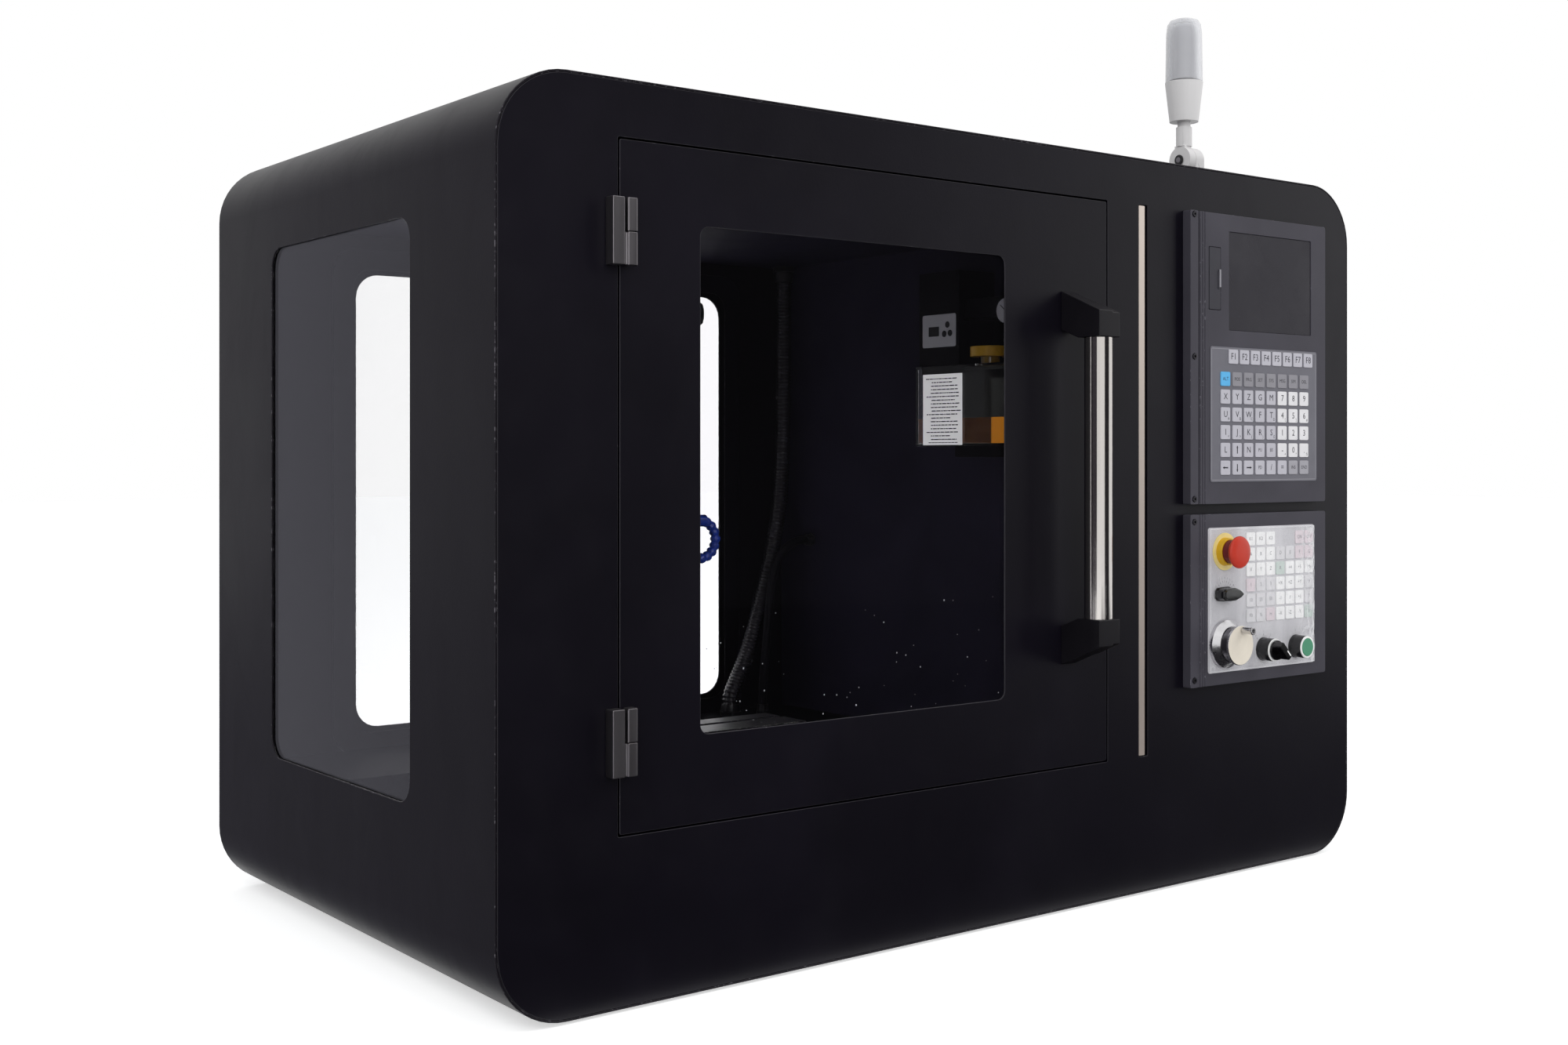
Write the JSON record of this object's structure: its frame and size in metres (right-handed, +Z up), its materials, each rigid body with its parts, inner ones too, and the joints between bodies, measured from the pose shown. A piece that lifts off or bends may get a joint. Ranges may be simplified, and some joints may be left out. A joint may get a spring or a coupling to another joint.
{
  "type": "desktop cnc milling machine",
  "caption": "Enclosed bench milling machine with a hinged front door, control panels, a folding signal light and a moving table and head inside.",
  "frame": {"origin": "centre of the object's footprint, handle and cable gland included, on the floor plane under the feet", "axes": "+X along the width, to the right as seen from the front; +Y from the door to the rear; +Z up"},
  "size_m": [1.28, 0.785, 1.111],
  "materials": {
    "wrap_paint": "fine-textured satin powder coat, graphite grey",
    "front_paint": "satin powder coat, near black",
    "inner_paint": "satin powder coat, dark grey",
    "pane": "clear polycarbonate with a slight grey tint",
    "door_glass": "smoked polycarbonate",
    "tray_steel": "dull folded sheet steel",
    "diffuser": "satin opal plastic, unlit",
    "hinge_metal": "semi-gloss black zinc with bright worn edges",
    "seal_rubber": "matt foam rubber",
    "black_plastic": "satin moulded plastic",
    "stainless": "polished stainless tube",
    "panel_paint": "satin coated, mid grey",
    "screw_steel": "zinc-plated",
    "screen": "dark display glass",
    "overlay_film": "printed film with domed keys",
    "silver_film": "silver film with domed keys under a clear protective skin",
    "flap_plastic": "satin moulded plastic",
    "yellow_plastic": "gloss moulded plastic",
    "stem_red": "gloss moulded plastic, dark red",
    "red_plastic": "gloss moulded plastic, red",
    "chrome_ring": "turned and plated",
    "cream_plastic": "printed cream dial",
    "white_plastic": "gloss moulded plastic, white",
    "green_plastic": "gloss moulded plastic, green",
    "lens": "frosted clear lens",
    "casting": "grey machine enamel over cast iron, machined faces bare",
    "rail_steel": "ground steel",
    "motor_black": "black anodised and painted",
    "spindle_steel": "ground steel",
    "hose_blue": "moulded blue plastic links",
    "pump_grey": "moulded plastic housing",
    "clear_plastic": "clear moulded reservoir",
    "cap_yellow": "moulded yellow plastic",
    "gland_black": "nylon",
    "conduit_grey": "corrugated grey conduit",
    "hose_grey": "smooth grey hose",
    "electrics_grey": "mounting plate and module housings"
  },
  "bodies": {
    "machine": {"wrap_shell": "wrap_paint", "front_panel": "front_paint", "rear_panel": "inner_paint", "feet": "seal_rubber", "chamber_liner": "inner_paint", "window_panes": "pane", "pane_frames": "front_paint", "chip_tray": "tray_steel", "drain_grille": "tray_steel", "strip_diffuser": "diffuser", "hinge_leaves_fixed": "hinge_metal", "door_seal": "seal_rubber", "upper_panel_housing": "panel_paint", "lower_panel_housing": "panel_paint", "panel_screws": "screw_steel", "display_screen": "screen", "key_overlay": "overlay_film", "membrane_plate": "silver_film", "switch_bodies": "black_plastic", "estop_base": "yellow_plastic", "handwheel_flange": "chrome_ring", "switch_rings": "black_plastic", "signal_bracket": "white_plastic", "base_casting": "casting", "column": "casting", "linear_rails": "rail_steel", "axis_motors": "motor_black", "oiler_pump": "pump_grey", "oiler_reservoir": "clear_plastic", "cable_glands": "gland_black", "conduit": "conduit_grey", "small_hose": "hose_grey", "electrics": "electrics_grey"},
    "door": {"door_panel": "front_paint", "hinge_leaves_door": "hinge_metal", "door_pane": "door_glass", "door_pane_frame": "front_paint", "handle_tube": "stainless", "handle_brackets": "black_plastic"},
    "usb_flap_body": {"usb_flap": "flap_plastic"},
    "estop_plunger": {"estop_stem": "stem_red"},
    "estop_button": {"estop_head": "red_plastic"},
    "mode_dial": {"mode_knob": "black_plastic"},
    "handwheel_body": {"handwheel": "cream_plastic"},
    "crank": {"handwheel_crank": "chrome_ring"},
    "selector": {"selector_knob": "black_plastic"},
    "start_button": {"green_button": "green_plastic"},
    "signal_light": {"signal_stem": "white_plastic", "signal_lens": "lens"},
    "saddle_body": {"saddle": "casting"},
    "table_body": {"table": "casting", "x_motor": "motor_black"},
    "x_screw_body": {"x_screw": "rail_steel"},
    "y_screw_body": {"y_screw": "rail_steel"},
    "z_screw_body": {"z_screw": "rail_steel"},
    "head": {"head_casting": "casting", "spindle_motor": "motor_black", "coolant_hose": "hose_blue"},
    "spindle_body": {"spindle": "spindle_steel"},
    "cap": {"oiler_cap": "cap_yellow"}
  },
  "joints": [
    {"name": "door_hinge", "type": "hinge", "parent": "machine", "child": "door", "pos_m": [-0.5006, -0.341, 0.503], "axis": [0, 0, -1], "range_deg": [0, 120]},
    {"name": "usb_flap_hinge", "type": "hinge", "parent": "machine", "child": "usb_flap_body", "pos_m": [0.3428, -0.3418, 0.743], "axis": [0, 0, -1], "range_deg": [0, 90]},
    {"name": "estop_push", "type": "slide", "parent": "machine", "child": "estop_plunger", "axis": [0, 1, 0], "range_m": [0, 0.004]},
    {"name": "estop_twist", "type": "hinge", "parent": "estop_plunger", "child": "estop_button", "pos_m": [0.369, -0.369, 0.4076], "axis": [0, -1, 0], "range_deg": [-30, 0], "stiffness_Nm_per_rad": 0.1},
    {"name": "mode_turn", "type": "hinge", "parent": "machine", "child": "mode_dial", "pos_m": [0.369, -0.354, 0.355], "axis": [0, -1, 0], "range_deg": [-90, 90]},
    {"name": "handwheel_turn", "type": "hinge", "parent": "machine", "child": "handwheel_body", "pos_m": [0.369, -0.359, 0.293], "axis": [0, -1, 0], "continuous": true},
    {"name": "crank_turn", "type": "hinge", "parent": "handwheel_body", "child": "crank", "pos_m": [0.3725, -0.374, 0.3115], "axis": [0, -1, 0], "continuous": true},
    {"name": "selector_turn", "type": "hinge", "parent": "machine", "child": "selector", "pos_m": [0.4455, -0.354, 0.2816], "axis": [0, -1, 0], "range_deg": [0, 90]},
    {"name": "start_press", "type": "slide", "parent": "machine", "child": "start_button", "axis": [0, 1, 0], "range_m": [0, 0.0035], "stiffness_N_per_m": 400},
    {"name": "signal_fold", "type": "hinge", "parent": "machine", "child": "signal_light", "pos_m": [0.462, -0.204, 0.9215], "axis": [-1, 0, 0], "range_deg": [0, 90]},
    {"name": "saddle_slide", "type": "slide", "parent": "machine", "child": "saddle_body", "axis": [0, 1, 0], "range_m": [-0.06, 0.06]},
    {"name": "table_slide", "type": "slide", "parent": "saddle_body", "child": "table_body", "axis": [1, 0, 0], "range_m": [-0.095, 0.095]},
    {"name": "x_screw_turn", "type": "hinge", "parent": "table_body", "child": "x_screw_body", "pos_m": [-0.255, -0.034, 0.161], "axis": [1, 0, 0], "continuous": true},
    {"name": "y_screw_turn", "type": "hinge", "parent": "machine", "child": "y_screw_body", "pos_m": [-0.255, -0.034, 0.085], "axis": [0, 1, 0], "continuous": true},
    {"name": "z_screw_turn", "type": "hinge", "parent": "machine", "child": "z_screw_body", "pos_m": [-0.255, 0.161, 0.503], "axis": [0, 0, 1], "continuous": true},
    {"name": "head_lift", "type": "slide", "parent": "machine", "child": "head", "axis": [0, 0, 1], "range_m": [-0.16, 0]},
    {"name": "spindle_turn", "type": "hinge", "parent": "head", "child": "spindle_body", "pos_m": [-0.255, -0.034, 0.503], "axis": [0, 0, 1], "continuous": true},
    {"name": "cap_lift", "type": "slide", "parent": "machine", "child": "cap", "axis": [0, 0, 1], "range_m": [0, 0.03]}
  ],
  "couplings": [
    {"joint": "x_screw_turn", "follows": "table_slide", "rad_per_m": 1256.6},
    {"joint": "y_screw_turn", "follows": "saddle_slide", "rad_per_m": 1256.6},
    {"joint": "z_screw_turn", "follows": "head_lift", "rad_per_m": 1256.6}
  ]
}
